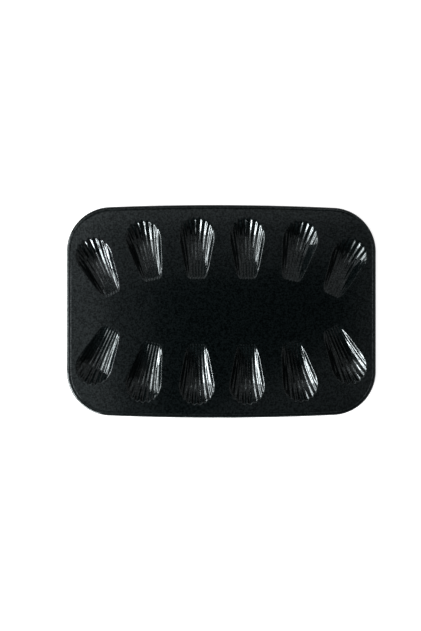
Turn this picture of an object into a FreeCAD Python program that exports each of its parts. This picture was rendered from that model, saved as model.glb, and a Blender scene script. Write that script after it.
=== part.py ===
"""A madeleine pan: twelve fluted shell moulds drawn in a flat steel deck whose edge is rolled round a wire.

Sizes are in millimetres. +X runs along the pan's long side, +Y towards its back row and +Z up.
The origin lies under the middle of the pan, on the surface that the moulds stand on.
"""
import FreeCAD
import Part
import math
import os

Vector = FreeCAD.Vector

# Pressed sheet
sheet = 0.7
overrun = 3.0  # how far a cutting shape passes the face that it cuts

# One shell mould, measured at the deck's upper face
mould_length = 73.2  # from the heel, its narrow end, to the tip of the fan
mould_width = 43.2  # across the straight sides where the fan begins
heel_width = 24.5  # across the heel
fan_length = 26.0  # from where the fan begins to the tip
fan_blend = 8.0  # rounds the straight sides and the floor into the fan
mould_depth = 10.9  # where the fan begins
heel_depth = 9.2  # of the floor, if it ran on to the heel
heel_ramp_degrees = 21.0
heel_blend = 6.5  # rounds the ramp into the floor and the side walls
wall_power = 2.25  # a higher power makes the side walls steeper and the floor flatter
tip_power = 2.0  # the same at the tip, where it also rounds the fan's outline
fan_power = 1.55  # a higher power makes the fan's end wall steeper

# Flutes that fan out from the heel, with a ridge on the mould's middle line
flute_count = 10
flute_depth = 1.25  # at the tip
flute_fall_power = 1.4  # their depth falls towards the heel with this power of their spacing
ridge_share = 0.03  # narrows the ridges and widens the flutes between them
heel_spread_share = 0.945  # how far the flutes spread at the heel, of its half width
tip_spread_share = 1.12  # how far they spread at the tip, of the mould's half width
spread_power = 2.5  # a higher power makes them spread later
wall_fade_power = 3.0  # the flutes die away towards the last one, which leaves the side walls plain

# Flat collar that joins a mould to the deck
collar_land = 0.6  # beyond the room for the sheet and the flutes

# Points taken on a mould's surface and round its fan
fan_points = 25
rows_along = 36
columns_per_flute = 8
plain_column_shares = (1.0, 1.03, 1.06)  # beyond the last flute, of the half width
probe_share = 0.001  # step for finding the surface's slope, of the mould's length

# Places of the moulds: two rows that face each other, each with three columns either side of the middle
row_gap = 83.9  # between the heels of the two inner columns' moulds
inner_column = 31.3  # from the pan's middle to where the inner column's fans begin
middle_pitch = 65.4  # from there to the middle column's
outer_pitch = 60.2  # from there to the outer column's
middle_drop = 3.1  # how much nearer to the middle line the middle column lies than the inner one
outer_drop = 24.5  # and the outer column
middle_lean_degrees = 13.0
outer_lean_degrees = 25.6

# Deck round the moulds
tip_margin = 17.35  # from the inner moulds' tips to the pan's long edge
side_margin = 14.0  # from the outer moulds' sides to its short edge, if they didn't lean
corner_radius = 55.0
long_edge_radius = 3200.0  # the long edges bow out a little

# Rolled rim
wire_diameter = 5.0
wire_clearance = 0.1
curl_gap = 0.4  # between the sheet's raw edge and the underside of the deck
wire_joint_gap = 0.8  # between the two ends of the wire

# Worked out from those
fan_root = mould_length - fan_length
collar = collar_land + 2 * sheet + flute_depth
rim_radius = wire_diameter / 2 + wire_clearance + sheet
half_length = inner_column + middle_pitch + outer_pitch + mould_width / 2 + side_margin
half_width = row_gap / 2 + mould_length + tip_margin


def soften(value, blend):
    """Zero well below zero and the value itself well above, with a parabola between."""
    if value <= -blend:
        return 0.0
    if value >= blend:
        return value
    return (value + blend) ** 2 / (4 * blend)


def mould_half_width(along):
    """Half the mould's width at a distance from the heel, as if its straight sides ran on."""
    return (heel_width + (mould_width - heel_width) * along / fan_root) / 2


def flute_spread(along):
    """Distance from the middle line that a flute would have if it kept the spacing of the middle ones."""
    heel = heel_spread_share * heel_width / 2
    tip = tip_spread_share * mould_width / 2
    return heel + (tip - heel) * max(0.0, along / mould_length) ** spread_power


def ridge_height(spread):
    """Height of the flutes' wave, from about 1 on a ridge to -1 in a flute, and 0 beyond the last flute."""
    last_flute = math.cos(math.pi / (2 * flute_count))
    if abs(spread) >= last_flute:
        return 0.0
    turn = 2 * flute_count * math.asin(spread)
    wave = math.cos(turn) + ridge_share * math.cos(2 * turn)
    return wave * (1 - abs(spread / last_flute) ** wall_fade_power)


def mould_point(along, spread):
    """A point of the mould's inner surface, with the deck's upper face at height zero.

    spread is the same all along a flute: 0 on the middle line and 1 on the straight sides.
    """
    wide = mould_half_width(along)
    across = spread * (1 - (1 - flute_spread(along) / wide) * (1 - spread**2))
    rise = soften(along - fan_root, fan_blend) / fan_length
    power = wall_power + (tip_power - wall_power) * min(1.0, rise)
    floor = heel_depth + (mould_depth - heel_depth) * max(0.0, min(1.0, along / fan_root))
    bowl = floor * (1 - abs(across) ** power - rise**fan_power)
    ramp_slope = math.tan(math.radians(heel_ramp_degrees))
    above_ramp = bowl - along * ramp_slope
    depth = bowl - soften(above_ramp, heel_blend)

    ramp_share = max(0.0, min(1.0, (above_ramp / heel_blend + 1) / 2))
    wall_slope = (1 - ramp_share) * floor * power * abs(across) ** (power - 1) / wide
    fan_slope = floor * fan_power * rise ** (fan_power - 1) / fan_length
    spacing_share = flute_spread(along) / flute_spread(mould_length)
    steepness = math.hypot(1, wall_slope, fan_slope, ramp_share * ramp_slope)
    ridge = flute_depth / 2 * spacing_share**flute_fall_power * steepness * ridge_height(spread)
    return Vector(along, across * wide, ridge - depth)


def sheet_point(along, spread, below):
    """A point under the inner surface, as far below it as asked, square to the surface."""
    step = probe_share * mould_length
    turn = probe_share
    lengthwise = mould_point(along + step, spread) - mould_point(along - step, spread)
    crosswise = mould_point(along, spread + turn) - mould_point(along, spread - turn)
    upward = lengthwise.cross(crosswise).normalize()
    return mould_point(along, spread) - upward * below


def surface_points(below):
    """Rows of points from the heel to the tip, in columns that follow the flutes."""
    steps = columns_per_flute * (flute_count - 1) // 2
    fluted = [math.sin(math.pi * step / (flute_count * columns_per_flute)) for step in range(-steps, steps + 1)]
    spreads = [-share for share in reversed(plain_column_shares)] + fluted + list(plain_column_shares)
    length = mould_length + 2 * overrun
    places = [length * row / (rows_along - 1) - overrun for row in range(rows_along)]
    return [[sheet_point(along, spread, below) for spread in spreads] for along in places]


def mould_space(points):
    """The space above a fluted surface, which passes the deck's upper face on all sides."""
    surface = Part.BSplineSurface()
    surface.interpolate(points)
    return surface.toShape().extrude(Vector(0, 0, 2 * (mould_depth + overrun)))


def below_deck(space):
    """The part of a mould's space that lies below the deck's upper face."""
    reach = mould_length + mould_width
    corner = Vector(-reach, -reach, -reach)
    return space.common(Part.makeBox(3 * reach, 2 * reach, reach, corner)).Solids[0]


def collar_edge():
    """A mould's outline, moved out by the collar: a straight heel, straight sides and a curve round the fan."""
    fan = []
    for point in range(fan_points):
        turn = math.pi * point / (fan_points - 1) - math.pi / 2
        rise = abs(math.cos(turn))
        power = wall_power + (tip_power - wall_power) * rise
        across = math.copysign((1 - rise**fan_power) ** (1 / power), turn)
        half_width_here = mould_half_width(fan_root + fan_length * rise)
        fan.append(Vector(fan_root + (fan_length + collar) * rise, (half_width_here + collar) * across, 0))
    heel_side = mould_half_width(-collar) + collar
    right_heel = Vector(-collar, -heel_side, 0)
    left_heel = Vector(-collar, heel_side, 0)
    curve = Part.BSplineCurve()
    curve.interpolate(fan)
    lines = [
        Part.LineSegment(right_heel, fan[0]),
        curve,
        Part.LineSegment(fan[-1], left_heel),
        Part.LineSegment(left_heel, right_heel),
    ]
    return Part.Wire([line.toShape() for line in lines])


def mould_places():
    """(node name, heel's x, heel's y, turn in degrees) of each mould, from left to right in each row."""
    columns = [
        (inner_column, 0.0, 0.0),
        (inner_column + middle_pitch, middle_drop, middle_lean_degrees),
        (inner_column + middle_pitch + outer_pitch, outer_drop, outer_lean_degrees),
    ]
    slots = [(-1, column) for column in reversed(columns)] + [(1, column) for column in columns]
    for row, way in (("back", 1), ("front", -1)):
        for number, (side, (out, drop, lean)) in enumerate(slots, start=1):
            ahead_x = side * math.sin(math.radians(lean))
            ahead_y = way * math.cos(math.radians(lean))
            x = side * out - fan_root * ahead_x
            y = way * (row_gap / 2 + fan_root - drop) - fan_root * ahead_y
            yield f"mould_{row}_{number}", x, y, math.degrees(math.atan2(ahead_y, ahead_x))


def placed(shape, x, y, turn, height):
    """A copy of a mould's shape at its place in the deck."""
    copy = shape.copy()
    copy.rotate(Vector(0, 0, 0), Vector(0, 0, 1), turn)
    copy.translate(Vector(x, y, height))
    return copy


def corner_middle():
    """Centre of the back right corner's arc, which touches the short edge and the bowed long edge."""
    x = half_length - corner_radius
    rise = math.sqrt((long_edge_radius - corner_radius) ** 2 - x**2)
    return Vector(x, half_width - long_edge_radius + rise, 0)


def long_edge_middle():
    """Centre of the back long edge's arc."""
    return Vector(0, half_width - long_edge_radius, 0)


def edge_wire(inset, height):
    """The pan's outline, moved in by a distance."""
    corner = corner_middle()
    away = (corner - long_edge_middle()).normalize()
    half_turn = Vector(1, math.tan(math.atan2(away.y, away.x) / 2), 0).normalize()
    side = half_length - inset
    bend = corner_radius - inset
    start = Vector(side, corner.y, 0)
    middle = corner + half_turn * bend
    end = corner + away * bend
    crown = Vector(0, half_width - inset, 0)

    def at(point, right, back):
        return Vector(right * point.x, back * point.y, height)

    edges = []
    for right, back in ((1, 1), (-1, 1), (-1, -1), (1, -1)):
        corner_arc = Part.Arc(at(start, right, back), at(middle, right, back), at(end, right, back))
        edges.append(corner_arc.toShape())
    for back in (1, -1):
        edges.append(Part.Arc(at(end, 1, back), at(crown, 1, back), at(end, -1, back)).toShape())
    for right in (1, -1):
        edges.append(Part.LineSegment(at(start, right, 1), at(start, right, -1)).toShape())
    return Part.Wire(Part.__sortEdges__(edges))


def round_the_rim(section):
    """A solid ring with one section, drawn in the XZ plane about the rim's middle line, all round the pan."""
    corner = corner_middle()
    bow = long_edge_middle()
    away = corner - bow
    turn = math.degrees(math.atan2(away.y, away.x))
    up = Vector(0, 0, 1)
    at_side = section.copy()
    at_side.translate(Vector(half_length - rim_radius, 0, 0))
    at_corner = at_side.copy()
    at_corner.translate(Vector(0, corner.y, 0))
    at_long_edge = at_corner.copy()
    at_long_edge.rotate(corner, up, turn)
    quarter = [
        at_side.extrude(Vector(0, corner.y, 0)),
        at_corner.revolve(corner, up, turn),
        at_long_edge.revolve(bow, up, math.degrees(math.pi / 2) - turn),
    ]
    across_x = [solid.mirror(Vector(0, 0, 0), Vector(1, 0, 0)) for solid in quarter]
    half = quarter + across_x
    across_y = [solid.mirror(Vector(0, 0, 0), Vector(0, 1, 0)) for solid in half]
    pieces = half + across_y
    return pieces[0].multiFuse(pieces[1:]).removeSplitter().Solids[0]


def rim_point(radius, turn):
    """A point about the rim's middle line, at an angle from straight out."""
    return Vector(radius * math.cos(turn), 0, radius * math.sin(turn))


def curl_section():
    """Section of the rolled edge: it leaves the deck level, goes out, down, in and up to just below the deck."""
    inner = rim_radius - sheet
    start = math.pi / 2
    end = -math.pi - math.asin((inner - curl_gap) / rim_radius)
    middle = (start + end) / 2
    outer_arc = Part.Arc(*[rim_point(rim_radius, turn) for turn in (start, middle, end)])
    raw_edge = Part.LineSegment(rim_point(rim_radius, end), rim_point(inner, end))
    inner_arc = Part.Arc(*[rim_point(inner, turn) for turn in (end, middle, start)])
    deck_edge = Part.LineSegment(rim_point(inner, start), rim_point(rim_radius, start))
    return Part.Face(Part.Wire([line.toShape() for line in (outer_arc, raw_edge, inner_arc, deck_edge)]))


def wire_section():
    """Section of the wire."""
    circle = Part.Circle(Vector(0, 0, 0), Vector(0, 1, 0), wire_diameter / 2)
    return Part.Face(Part.Wire(circle.toShape()))


def build():
    """Each node's name and solid."""
    inside = below_deck(mould_space(surface_points(0)))
    outside = below_deck(mould_space(surface_points(sheet)))
    collar_face = Part.Face(collar_edge())
    collar_plate = collar_face.extrude(Vector(0, 0, -sheet))
    mould = outside.fuse(collar_plate).cut(inside).removeSplitter().Solids[0]
    deck_height = -mould.optimalBoundingBox().ZMin

    nodes = {}
    deck = Part.Face(edge_wire(rim_radius, deck_height - sheet)).extrude(Vector(0, 0, sheet))
    collar_face.translate(Vector(0, 0, -sheet - overrun))
    hole = collar_face.extrude(Vector(0, 0, sheet + 2 * overrun))
    for name, x, y, turn in mould_places():
        nodes[name] = placed(mould, x, y, turn, deck_height)
        deck = deck.cut(placed(hole, x, y, turn, deck_height))
    nodes["deck_plate"] = deck.Solids[0]

    rim_height = Vector(0, 0, deck_height - rim_radius)
    rim = round_the_rim(curl_section())
    rim.translate(rim_height)
    nodes["rolled_rim"] = rim
    wire = round_the_rim(wire_section())
    joint = Part.makeBox(wire_joint_gap, half_width, wire_diameter, Vector(-wire_joint_gap / 2, 0, -wire_diameter / 2))
    wire = wire.cut(joint).Solids[0]
    wire.translate(rim_height)
    nodes["rim_wire"] = wire
    return nodes


os.makedirs("parts", exist_ok=True)
for node, solid in build().items():
    box = solid.optimalBoundingBox()
    size = f"{box.XLength:.2f} x {box.YLength:.2f} x {box.ZLength:.2f}, from {box.ZMin:.3f} up"
    print(f"{node}: valid {solid.isValid()}, {size}")
    solid.exportStep(f"parts/{node}.step")
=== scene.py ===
"""The looks of a madeleine pan: satin black non-stick steel with twelve fluted shell moulds.

Sizes are in metres. +X runs along the pan's long side, +Y towards its back row of moulds and +Z up.
The pan is one pressing, so its pieces meet on flat lands where their shading runs on unbroken.
The camera looks nearly straight down on it.
"""

import math

import bpy
import numpy as np
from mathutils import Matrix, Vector
from mathutils.geometry import delaunay_2d_cdt


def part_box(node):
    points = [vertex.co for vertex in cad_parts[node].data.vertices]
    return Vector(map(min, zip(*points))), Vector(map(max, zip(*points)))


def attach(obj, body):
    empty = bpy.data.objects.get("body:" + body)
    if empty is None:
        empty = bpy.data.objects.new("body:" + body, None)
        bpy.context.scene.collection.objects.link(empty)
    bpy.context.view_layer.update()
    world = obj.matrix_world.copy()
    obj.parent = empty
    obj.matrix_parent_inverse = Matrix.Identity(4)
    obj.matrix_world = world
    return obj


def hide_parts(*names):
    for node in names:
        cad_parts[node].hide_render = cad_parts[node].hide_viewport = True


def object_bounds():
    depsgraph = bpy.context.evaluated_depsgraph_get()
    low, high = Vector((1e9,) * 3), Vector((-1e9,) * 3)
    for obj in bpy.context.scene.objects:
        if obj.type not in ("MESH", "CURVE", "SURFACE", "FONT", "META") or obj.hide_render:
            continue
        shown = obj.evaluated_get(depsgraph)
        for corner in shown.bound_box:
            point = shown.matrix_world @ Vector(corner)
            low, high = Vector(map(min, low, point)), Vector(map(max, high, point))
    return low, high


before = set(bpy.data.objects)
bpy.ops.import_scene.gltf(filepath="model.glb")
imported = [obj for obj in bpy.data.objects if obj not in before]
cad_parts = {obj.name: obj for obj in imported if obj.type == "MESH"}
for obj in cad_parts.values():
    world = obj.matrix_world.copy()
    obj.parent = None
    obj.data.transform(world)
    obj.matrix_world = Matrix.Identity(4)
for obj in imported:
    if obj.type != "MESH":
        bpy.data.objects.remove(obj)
cad_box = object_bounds()

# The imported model's sizes
deck_low, deck_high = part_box("deck_plate")
deck_top = deck_high[2]
sheet = deck_high[2] - deck_low[2]
half_length = cad_box[1][0]
half_width = cad_box[1][1]
floor_height = cad_box[0][2]

# One shell mould, measured at the deck's upper face
mould_length = 0.0732
mould_width = 0.0432
heel_width = 0.0245
fan_length = 0.026
fan_blend = 0.008
mould_depth = 0.0109
heel_depth = 0.0092
heel_ramp = math.radians(21.0)
heel_blend = 0.0065
wall_power = 2.25
tip_power = 2.0
fan_power = 1.55
shoulder_blend = 0.0008  # rounds the mould's edge into the deck
collar_land = 0.0006

# Flutes that fan out from the heel
flute_count = 10
flute_depth = 0.00125
flute_fall_power = 1.4
ridge_share = 0.03
heel_spread_share = 0.945
tip_spread_share = 1.12
spread_power = 2.5
wall_fade_power = 3.0

# Places of the moulds
row_gap = 0.0839
inner_column = 0.0313
middle_pitch = 0.0654
outer_pitch = 0.0602
middle_drop = 0.0031
outer_drop = 0.0245
middle_lean = math.radians(13.0)
outer_lean = math.radians(25.6)

# Outline and rolled rim
corner_radius = 0.055
long_edge_radius = 3.2
wire_diameter = 0.005
wire_clearance = 0.0001
curl_gap = 0.0004
roll_land = 0.0008  # flat strip beside the roll
valley_width = 0.0018  # shallow valley between that strip and the deck
valley_depth = 0.0003

# Fineness of the meshes
mould_columns = 201
mould_rows = 241
newton_steps = 8
halving_steps = 40
corner_steps = 48
long_edge_steps = 48
side_steps = 12
curl_steps = 56
valley_steps = 13
sharp_angle = math.radians(50.0)
triangles_inside = 1  # the way of filling outlines that keeps only the triangles inside them

# The photograph's frame
photo_width = 421
photo_height = 631
pan_left_pixel = 66.6
pan_right_pixel = 376.2
pan_middle_pixel = (221.9, 311.4)
camera_distance = 1.5
camera_tilt = math.radians(1.9)

# Coating: its colour, gloss and grain
coating_dark = (0.0003, 0.0009, 0.001, 1)
coating_light = (0.0031, 0.005, 0.0054, 1)
gloss_dark = (0.38, 0.42, 0.43, 1)
gloss_light = (0.88, 0.98, 1.0, 1)
coating_roughness = (0.09, 0.15)
coating_specular = 0.68
grain_scale = 560.0
grain_detail = 2.0
grain_span = (0.38, 0.62)
grain_height = 0.00015
grain_strength = 0.1
mottle_scale = 220.0
mottle_detail = 4.0

# Drawn steel of the wire
steel_colour = (0.46, 0.46, 0.45, 1)
steel_roughness = (0.25, 0.45)
streak_scale = 2500.0
streak_detail = 2.0
streak_height = 0.0001
streak_strength = 0.1

# Studio: a white floor, white far walls and a dark ceiling
pure_white = (1, 1, 1, 1)
floor_size = 40.0
floor_white = (0.8, 0.8, 0.8, 1)
floor_roughness = 1.0
floor_glow = 0.85
wall_height_share = 0.12
ceiling_level = 0.01

# Soft boxes round the pan: bearing and rise in degrees, width and height in metres, brightness
box_distance = 1.1
soft_boxes = {
    # Low and bright at the left, for the streaks on the moulds' right walls
    "key_back": (170, 16, 0.55, 0.26, 16.0),
    "key_middle": (202, 17, 0.55, 0.24, 42.0),
    "key_front": (234, 11, 0.55, 0.2, 42.0),
    "key_high": (198, 31, 0.8, 0.2, 4.0),
    # Narrow ones higher up, for the thin lines on the flutes
    "left_strip_low": (165, 45, 0.8, 0.08, 3.5),
    "left_strip": (165, 56, 0.8, 0.07, 3.0),
    "left_strip_high": (165, 67, 0.8, 0.05, 1.8),
    # Faint ones, for the deck's tone and the moulds' dark sides
    "left_wide": (170, 43, 1.3, 0.45, 0.14),
    "left_high": (172, 62, 0.8, 0.4, 0.1),
    "left_over": (186, 73, 1.1, 0.25, 0.38),
    "left_soft": (182, 77, 0.8, 0.3, 0.12),
    "back": (90, 50, 0.8, 0.75, 0.36),
    "back_over": (92, 74, 1.0, 0.22, 0.35),
    "back_soft": (95, 79, 0.7, 0.25, 0.14),
    "corner": (45, 45, 0.6, 0.7, 0.4),
    "right": (0, 50, 0.6, 0.7, 0.22),
    "right_strip": (350, 42, 1.0, 0.08, 0.6),
    "right_over": (0, 68, 0.4, 0.18, 0.14),
    "right_low": (0, 22, 0.9, 0.3, 0.32),
    "front_right": (315, 35, 0.7, 0.5, 0.06),
    "front_low": (270, 18, 0.8, 0.3, 0.6),
    "front_over": (298, 76, 0.5, 0.15, 0.13),
}

# Worked out from those
fan_root = mould_length - fan_length
collar = collar_land + 2 * sheet + flute_depth
rim_radius = wire_diameter / 2 + wire_clearance + sheet


def soften(value, blend):
    """Zero well below zero and the value itself well above, with a parabola between."""
    middle = (value + blend) ** 2 / (4 * blend)
    return np.where(value <= -blend, 0.0, np.where(value >= blend, value, middle))


def mould_half_width(along):
    """Half the mould's width at a distance from the heel, as if its straight sides ran on."""
    return (heel_width + (mould_width - heel_width) * along / fan_root) / 2


def flute_spread(along):
    """Distance from the middle line that a flute would have if it kept the spacing of the middle ones."""
    heel = heel_spread_share * heel_width / 2
    tip = tip_spread_share * mould_width / 2
    return heel + (tip - heel) * np.maximum(0.0, along / mould_length) ** spread_power


def spread_of(across, along):
    """The flute coordinate at a share of the half width: a cubic's root, found in a few Newton steps."""
    bend = 1 - flute_spread(along) / mould_half_width(along)
    spread = across.copy()
    for _ in range(newton_steps):
        error = bend * spread**3 + (1 - bend) * spread - across
        spread = spread - error / (3 * bend * spread**2 + 1 - bend)
    return spread


def ridge_height(spread):
    """Height of the flutes' wave, from about 1 on a ridge to -1 in a flute, and 0 beyond the last flute."""
    last_flute = math.cos(math.pi / (2 * flute_count))
    inside = np.clip(spread, -last_flute, last_flute)
    turn = 2 * flute_count * np.arcsin(inside)
    wave = np.cos(turn) + ridge_share * np.cos(2 * turn)
    return wave * (1 - np.abs(inside / last_flute) ** wall_fade_power)


def mould_height(along, sideways):
    """Height of the mould's inner surface over the deck's upper face, with a rounded edge."""
    wide = mould_half_width(along)
    across = sideways / wide
    rise = soften(along - fan_root, fan_blend) / fan_length
    power = wall_power + (tip_power - wall_power) * np.minimum(1.0, rise)
    floor = heel_depth + (mould_depth - heel_depth) * np.clip(along / fan_root, 0.0, 1.0)
    bowl = floor * (1 - np.abs(across) ** power - rise**fan_power)
    above_ramp = bowl - along * math.tan(heel_ramp)
    depth = bowl - soften(above_ramp, heel_blend)

    ramp_share = np.clip((above_ramp / heel_blend + 1) / 2, 0.0, 1.0)
    wall_slope = (1 - ramp_share) * floor * power * np.abs(across) ** (power - 1) / wide
    fan_slope = floor * fan_power * rise ** (fan_power - 1) / fan_length
    ramp_slope = ramp_share * math.tan(heel_ramp)
    slope = np.sqrt(1 + wall_slope**2 + fan_slope**2 + ramp_slope**2)
    spacing_share = flute_spread(along) / flute_spread(mould_length)
    wave = ridge_height(spread_of(across, along))
    ridges = flute_depth / 2 * spacing_share**flute_fall_power * slope * wave
    return -soften(depth - ridges, shoulder_blend)


def fan_rise(across):
    """How far up the fan its outline lies at a share of the half width: 0 at its root, 1 at its tip."""
    low = np.zeros_like(across)
    high = np.ones_like(across)
    for _ in range(halving_steps):
        middle = (low + high) / 2
        power = wall_power + (tip_power - wall_power) * middle
        inside = np.abs(across) ** power + middle**fan_power < 1
        low = np.where(inside, middle, low)
        high = np.where(inside, high, middle)
    return low


def mould_grid():
    """Points of a mould's upper and lower face, as arrays of rows by columns by x, y, z."""
    across = np.sin(np.linspace(-math.pi / 2, math.pi / 2, mould_columns))
    row_share = (1 - np.cos(np.linspace(0, math.pi, mould_rows))) / 2
    tip = fan_root + (fan_length + collar) * fan_rise(across)
    along = -collar + row_share[:, None] * (tip + collar)[None, :]
    over_root = np.maximum(0.0, along - fan_root)
    width_place = np.minimum(along, fan_root) + over_root * fan_length / (fan_length + collar)
    sideways = across[None, :] * (mould_half_width(width_place) + collar)
    upper = np.stack([along, sideways, mould_height(along, sideways)], axis=2)
    return upper, upper - sheet * surface_normals(along, sideways)


def surface_normals(along, sideways):
    """Unit normals of the mould's inner surface, from its slopes over a step far finer than the sheet."""
    step = sheet / mould_columns
    run_x = (mould_height(along + step, sideways) - mould_height(along - step, sideways)) / (2 * step)
    run_y = (mould_height(along, sideways + step) - mould_height(along, sideways - step)) / (2 * step)
    normals = np.stack([-run_x, -run_y, np.ones_like(run_x)], axis=2)
    return normals / np.linalg.norm(normals, axis=2, keepdims=True)


def mould_places():
    """(node name, heel's x, heel's y, direction) of each mould, from left to right in each row."""
    columns = [
        (inner_column, 0.0, 0.0),
        (inner_column + middle_pitch, middle_drop, middle_lean),
        (inner_column + middle_pitch + outer_pitch, outer_drop, outer_lean),
    ]
    slots = [(-1, column) for column in reversed(columns)] + [(1, column) for column in columns]
    for row, way in (("back", 1), ("front", -1)):
        for number, (side, (out, drop, lean)) in enumerate(slots, start=1):
            ahead = np.array([side * math.sin(lean), way * math.cos(lean)])
            heel = np.array([side * out, way * (row_gap / 2 + fan_root - drop)]) - fan_root * ahead
            yield f"mould_{row}_{number}", heel, ahead


def placed(points, heel, ahead):
    """A mould's points at its place in the deck."""
    left = np.array([-ahead[1], ahead[0]])
    flat = heel + points[..., :1] * ahead + points[..., 1:2] * left
    return np.concatenate([flat, points[..., 2:] + deck_top], axis=-1)


def grid_faces(rows, columns, start=0):
    """Quads between the points of a grid."""
    number = start + np.arange(rows * columns).reshape(rows, columns)
    corners = [number[:-1, :-1], number[:-1, 1:], number[1:, 1:], number[1:, :-1]]
    return np.stack([corner.ravel() for corner in corners], axis=1)


def ring_of(rows, columns):
    """Numbers of a grid's outer points, in order round it."""
    number = np.arange(rows * columns).reshape(rows, columns)
    sides = [number[0, :-1], number[:-1, -1], number[-1, :0:-1], number[:0:-1, 0]]
    return np.concatenate(sides)


def strip_faces(first, second):
    """Quads between two closed rings of points."""
    return np.stack([first, np.roll(first, -1), np.roll(second, -1), second], axis=1)


def add_piece(name, points, faces, material):
    """A smooth-shaded mesh piece that rides on the pan."""
    mesh = bpy.data.meshes.new(name)
    mesh.from_pydata([tuple(point) for point in points], [], [tuple(face) for face in faces])
    mesh.update()
    mesh.shade_smooth()
    mesh.set_sharp_from_angle(angle=sharp_angle)
    mesh.materials.append(material)
    piece = bpy.data.objects.new(name, mesh)
    bpy.context.scene.collection.objects.link(piece)
    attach(piece, "root")
    return piece


def add_moulds(material):
    """The twelve moulds; returns the outer ring of each one's upper face."""
    upper, lower = mould_grid()
    count = mould_rows * mould_columns
    ring = ring_of(mould_rows, mould_columns)
    top = grid_faces(mould_rows, mould_columns)
    bottom = grid_faces(mould_rows, mould_columns, count)
    faces = np.concatenate([top[:, ::-1], bottom, strip_faces(ring, ring + count)])
    rings = []
    for node, heel, ahead in mould_places():
        above = placed(upper, heel, ahead).reshape(-1, 3)
        below = placed(lower, heel, ahead).reshape(-1, 3)
        piece = add_piece(f"shell_{node}", np.concatenate([above, below]), faces, material)
        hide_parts(node)
        rings.append(above[ring])
    return rings


def outline():
    """Points of the pan's outer edge and the outward directions there, anticlockwise."""
    corner_x = half_length - corner_radius
    reach = math.sqrt((long_edge_radius - corner_radius) ** 2 - corner_x**2)
    corner_y = half_width - long_edge_radius + reach
    turn = math.atan2(reach, corner_x)
    points = []
    ways = []
    for share in np.arange(side_steps) / side_steps:
        points.append((half_length, corner_y * share))
        ways.append((1.0, 0.0))
    for angle in turn * np.arange(corner_steps) / corner_steps:
        way = (math.cos(angle), math.sin(angle))
        points.append((corner_x + corner_radius * way[0], corner_y + corner_radius * way[1]))
        ways.append(way)
    arc_y = half_width - long_edge_radius
    for angle in np.linspace(turn, math.pi / 2, long_edge_steps):
        way = (math.cos(angle), math.sin(angle))
        points.append((long_edge_radius * way[0], arc_y + long_edge_radius * way[1]))
        ways.append(way)
    quarter = np.array(points)
    quarter_ways = np.array(ways)
    half = np.concatenate([quarter, (quarter * (-1, 1))[-2:0:-1]])
    half_ways = np.concatenate([quarter_ways, (quarter_ways * (-1, 1))[-2:0:-1]])
    return np.concatenate([half, -half]), np.concatenate([half_ways, -half_ways])


def add_deck(rings, material):
    """The flat sheet between the moulds and the rim."""
    edge, ways = outline()
    loops = [edge - (rim_radius + roll_land + valley_width) * ways] + [ring[::-1, :2] for ring in rings]
    starts = np.cumsum([0] + [len(loop) for loop in loops])
    numbers = [np.arange(start, start + len(loop)) for start, loop in zip(starts, loops)]
    plan = np.concatenate(loops)
    spots = [Vector(point) for point in plan]
    borders = [number.tolist() for number in numbers]
    _, _, found, _, _, owners = delaunay_2d_cdt(spots, [], borders, triangles_inside, 0.0)
    triangles = np.array([face for face, owner in zip(found, owners) if owner == [0]])
    count = len(plan)
    upper = np.column_stack([plan, np.full(count, deck_top)])
    lower = upper - (0, 0, sheet)
    outer_wall = strip_faces(numbers[0] + count, numbers[0]).tolist()
    hole_walls = [face for hole in numbers[1:] for face in strip_faces(hole, hole + count).tolist()]
    faces = triangles.tolist() + (triangles[:, ::-1] + count).tolist() + outer_wall + hole_walls
    piece = add_piece("deck", np.concatenate([upper, lower]), faces, material)
    piece.data.shade_flat()
    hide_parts("deck_plate")


def rim_section():
    """Points of the rolled edge's section, out from and up from the rim's middle line."""
    inner = rim_radius - sheet
    end = -math.pi - math.asin((inner - curl_gap) / rim_radius)
    turns = np.linspace(math.pi / 2, end, curl_steps)
    arc = np.column_stack([np.cos(turns), np.sin(turns)])
    share = np.linspace(0, 1, valley_steps)
    dip = valley_depth * np.sin(math.pi * share) ** 2
    valley = np.column_stack([(share - 1) * valley_width - roll_land, rim_radius - dip])
    below = valley - (0, sheet)
    return np.concatenate([valley, rim_radius * arc, inner * arc[::-1], below[::-1]])


def add_rim(material):
    """The edge of the sheet, rolled round the wire."""
    edge, ways = outline()
    section = rim_section()
    middle = edge - rim_radius * ways
    flat = middle[:, None, :] + section[None, :, :1] * ways[:, None, :]
    height = np.broadcast_to(deck_top - rim_radius + section[None, :, 1:], flat.shape[:2] + (1,))
    points = np.concatenate([flat, height], axis=2).reshape(-1, 3)
    size = len(section)
    numbers = np.arange(len(points)).reshape(len(edge), size)
    faces = [strip_faces(numbers[place], numbers[place - 1]) for place in range(len(edge))]
    piece = add_piece("rim", points, np.concatenate(faces), material)
    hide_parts("rolled_rim")


def new_material(name):
    """An empty node material: its node tree and its main shader."""
    material = bpy.data.materials.new(name)
    material.use_nodes = True
    return material, material.node_tree, material.node_tree.nodes["Principled BSDF"]


def add_noise(tree, scale, detail):
    """Noise in the object's own coordinates."""
    place = tree.nodes.new("ShaderNodeTexCoord")
    noise = tree.nodes.new("ShaderNodeTexNoise")
    noise.inputs["Scale"].default_value = scale
    noise.inputs["Detail"].default_value = detail
    tree.links.new(place.outputs["Object"], noise.inputs["Vector"])
    return noise.outputs["Fac"]


def add_range(tree, value, limits):
    """A value from 0 to 1 turned into one between two limits."""
    ramp = tree.nodes.new("ShaderNodeMapRange")
    ramp.inputs["To Min"].default_value = limits[0]
    ramp.inputs["To Max"].default_value = limits[1]
    tree.links.new(value, ramp.inputs["Value"])
    return ramp.outputs["Result"]


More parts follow.
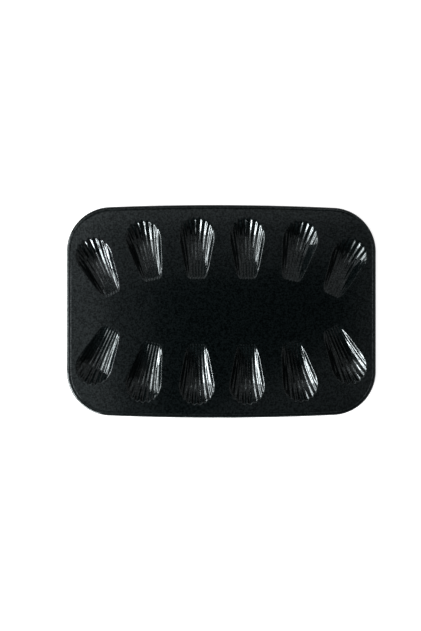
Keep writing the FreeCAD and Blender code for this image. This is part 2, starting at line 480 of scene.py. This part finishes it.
def add_bump(tree, shader, height, strength, distance):
    """Bump from a height."""
    bump = tree.nodes.new("ShaderNodeBump")
    bump.inputs["Strength"].default_value = strength
    bump.inputs["Distance"].default_value = distance
    tree.links.new(height, bump.inputs["Height"])
    tree.links.new(bump.outputs["Normal"], shader.inputs["Normal"])


def add_ramp(tree, value, ends, colours):
    """A value turned into a colour between two."""
    ramp = tree.nodes.new("ShaderNodeValToRGB")
    for stop, place, colour in zip(ramp.color_ramp.elements, ends, colours):
        stop.position = place
        stop.color = colour
    tree.links.new(value, ramp.inputs["Fac"])
    return ramp.outputs["Color"]


def nonstick_material():
    """Satin black non-stick coating, finely grained in its colour, gloss and surface."""
    material, tree, shader = new_material("nonstick_coating")
    grain = add_noise(tree, grain_scale, grain_detail)
    mottle = add_noise(tree, mottle_scale, mottle_detail)
    colour = add_ramp(tree, grain, grain_span, (coating_dark, coating_light))
    gloss = add_ramp(tree, grain, grain_span, (gloss_dark, gloss_light))
    tree.links.new(colour, shader.inputs["Base Color"])
    tree.links.new(gloss, shader.inputs["Specular Tint"])
    tree.links.new(add_range(tree, mottle, coating_roughness), shader.inputs["Roughness"])
    shader.inputs["Specular IOR Level"].default_value = coating_specular
    add_bump(tree, shader, grain, grain_strength, grain_height)
    return material


def wire_material():
    """Drawn steel wire."""
    material, tree, shader = new_material("wire_steel")
    shader.inputs["Base Color"].default_value = steel_colour
    shader.inputs["Metallic"].default_value = 1.0
    streaks = add_noise(tree, streak_scale, streak_detail)
    tree.links.new(add_range(tree, streaks, steel_roughness), shader.inputs["Roughness"])
    add_bump(tree, shader, streaks, streak_strength, streak_height)
    return material


def add_math(tree, operation, first, second):
    """One sum on two values."""
    node = tree.nodes.new("ShaderNodeMath")
    node.operation = operation
    tree.links.new(first, node.inputs[0])
    tree.links.new(second, node.inputs[1])
    return node.outputs["Value"]


def mirror_rays(tree):
    """1 for rays that left a mirror or went through glass, and 0 for the others."""
    path = tree.nodes.new("ShaderNodeLightPath")
    return add_math(tree, "MAXIMUM", path.outputs["Is Glossy Ray"], path.outputs["Is Transmission Ray"])


def camera_rays(tree):
    """1 for rays from the camera, and 0 for the others."""
    return tree.nodes.new("ShaderNodeLightPath").outputs["Is Camera Ray"]


def add_floor():
    """A plain white floor that keeps the pan's shadow."""
    material, tree, shader = new_material("floor")
    shader.inputs["Base Color"].default_value = floor_white
    shader.inputs["Roughness"].default_value = floor_roughness
    shader.inputs["Emission Color"].default_value = pure_white
    seen = add_math(tree, "MAXIMUM", camera_rays(tree), mirror_rays(tree))
    tree.links.new(add_range(tree, seen, (0.0, floor_glow)), shader.inputs["Emission Strength"])
    reach = floor_size / 2
    corners = [(-reach, -reach), (reach, -reach), (reach, reach), (-reach, reach)]
    mesh = bpy.data.meshes.new("floor")
    mesh.from_pydata([(x, y, floor_height) for x, y in corners], [], [(0, 1, 2, 3)])
    mesh.materials.append(material)
    floor = bpy.data.objects.new("floor", mesh)
    bpy.context.scene.collection.objects.link(floor)


def wall_light(tree):
    """White at the foot of the far walls, in mirrors and glass, and nothing above them."""
    place = tree.nodes.new("ShaderNodeTexCoord")
    parts = tree.nodes.new("ShaderNodeSeparateXYZ")
    tree.links.new(place.outputs["Generated"], parts.inputs["Vector"])
    foot = tree.nodes.new("ShaderNodeMapRange")
    foot.inputs["From Max"].default_value = wall_height_share
    foot.inputs["To Min"].default_value = 1.0
    foot.inputs["To Max"].default_value = 0.0
    tree.links.new(parts.outputs["Z"], foot.inputs["Value"])
    return add_math(tree, "MULTIPLY", mirror_rays(tree), foot.outputs["Result"])


def add_world():
    """A dark studio whose far walls look white to the camera and in mirrors."""
    world = bpy.data.worlds.new("studio")
    world.use_nodes = True
    bpy.context.scene.world = world
    tree = world.node_tree
    seen = add_math(tree, "MAXIMUM", camera_rays(tree), wall_light(tree))
    background = tree.nodes["Background"]
    background.inputs["Color"].default_value = pure_white
    tree.links.new(add_range(tree, seen, (ceiling_level, 1.0)), background.inputs["Strength"])


def add_soft_box(name, bearing, rise, width, height, brightness):
    """A rectangular lamp that faces the pan's middle."""
    middle = Vector((0, 0, deck_top))
    flat = math.cos(math.radians(rise))
    way = Vector((flat * math.cos(math.radians(bearing)), flat * math.sin(math.radians(bearing)), 0))
    way.z = math.sin(math.radians(rise))
    data = bpy.data.lights.new(name, "AREA")
    data.shape = "RECTANGLE"
    data.size = width
    data.size_y = height
    data.energy = brightness * math.pi * width * height
    light = bpy.data.objects.new(name, data)
    light.location = middle + box_distance * way
    light.rotation_euler = way.to_track_quat("Z", "Y").to_euler()
    light.visible_camera = False
    bpy.context.scene.collection.objects.link(light)


def add_camera():
    """The photograph's view: nearly straight down, with the pan where the photograph has it."""
    rim_level = deck_top - rim_radius
    scale = 2 * half_length / (pan_right_pixel - pan_left_pixel)
    aim_x = (photo_width / 2 - pan_middle_pixel[0]) * scale
    aim_y = (pan_middle_pixel[1] - photo_height / 2) * scale
    data = bpy.data.cameras.new("camera")
    data.angle = 2 * math.atan(photo_height * scale / 2 / camera_distance)
    camera = bpy.data.objects.new("camera", data)
    back = camera_distance * math.sin(camera_tilt)
    camera.location = (aim_x - back, aim_y, rim_level + camera_distance * math.cos(camera_tilt))
    camera.rotation_euler = (0, -camera_tilt, 0)
    bpy.context.scene.collection.objects.link(camera)
    bpy.context.scene.camera = camera


bpy.context.scene.view_settings.view_transform = "Standard"
nonstick = nonstick_material()
mould_rings = add_moulds(nonstick)
add_deck(mould_rings, nonstick)
add_rim(nonstick)
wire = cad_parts["rim_wire"]
wire.data.materials.clear()
wire.data.materials.append(wire_material())
add_floor()
add_world()
for box_name, box_values in soft_boxes.items():
    add_soft_box(box_name, *box_values)
add_camera()
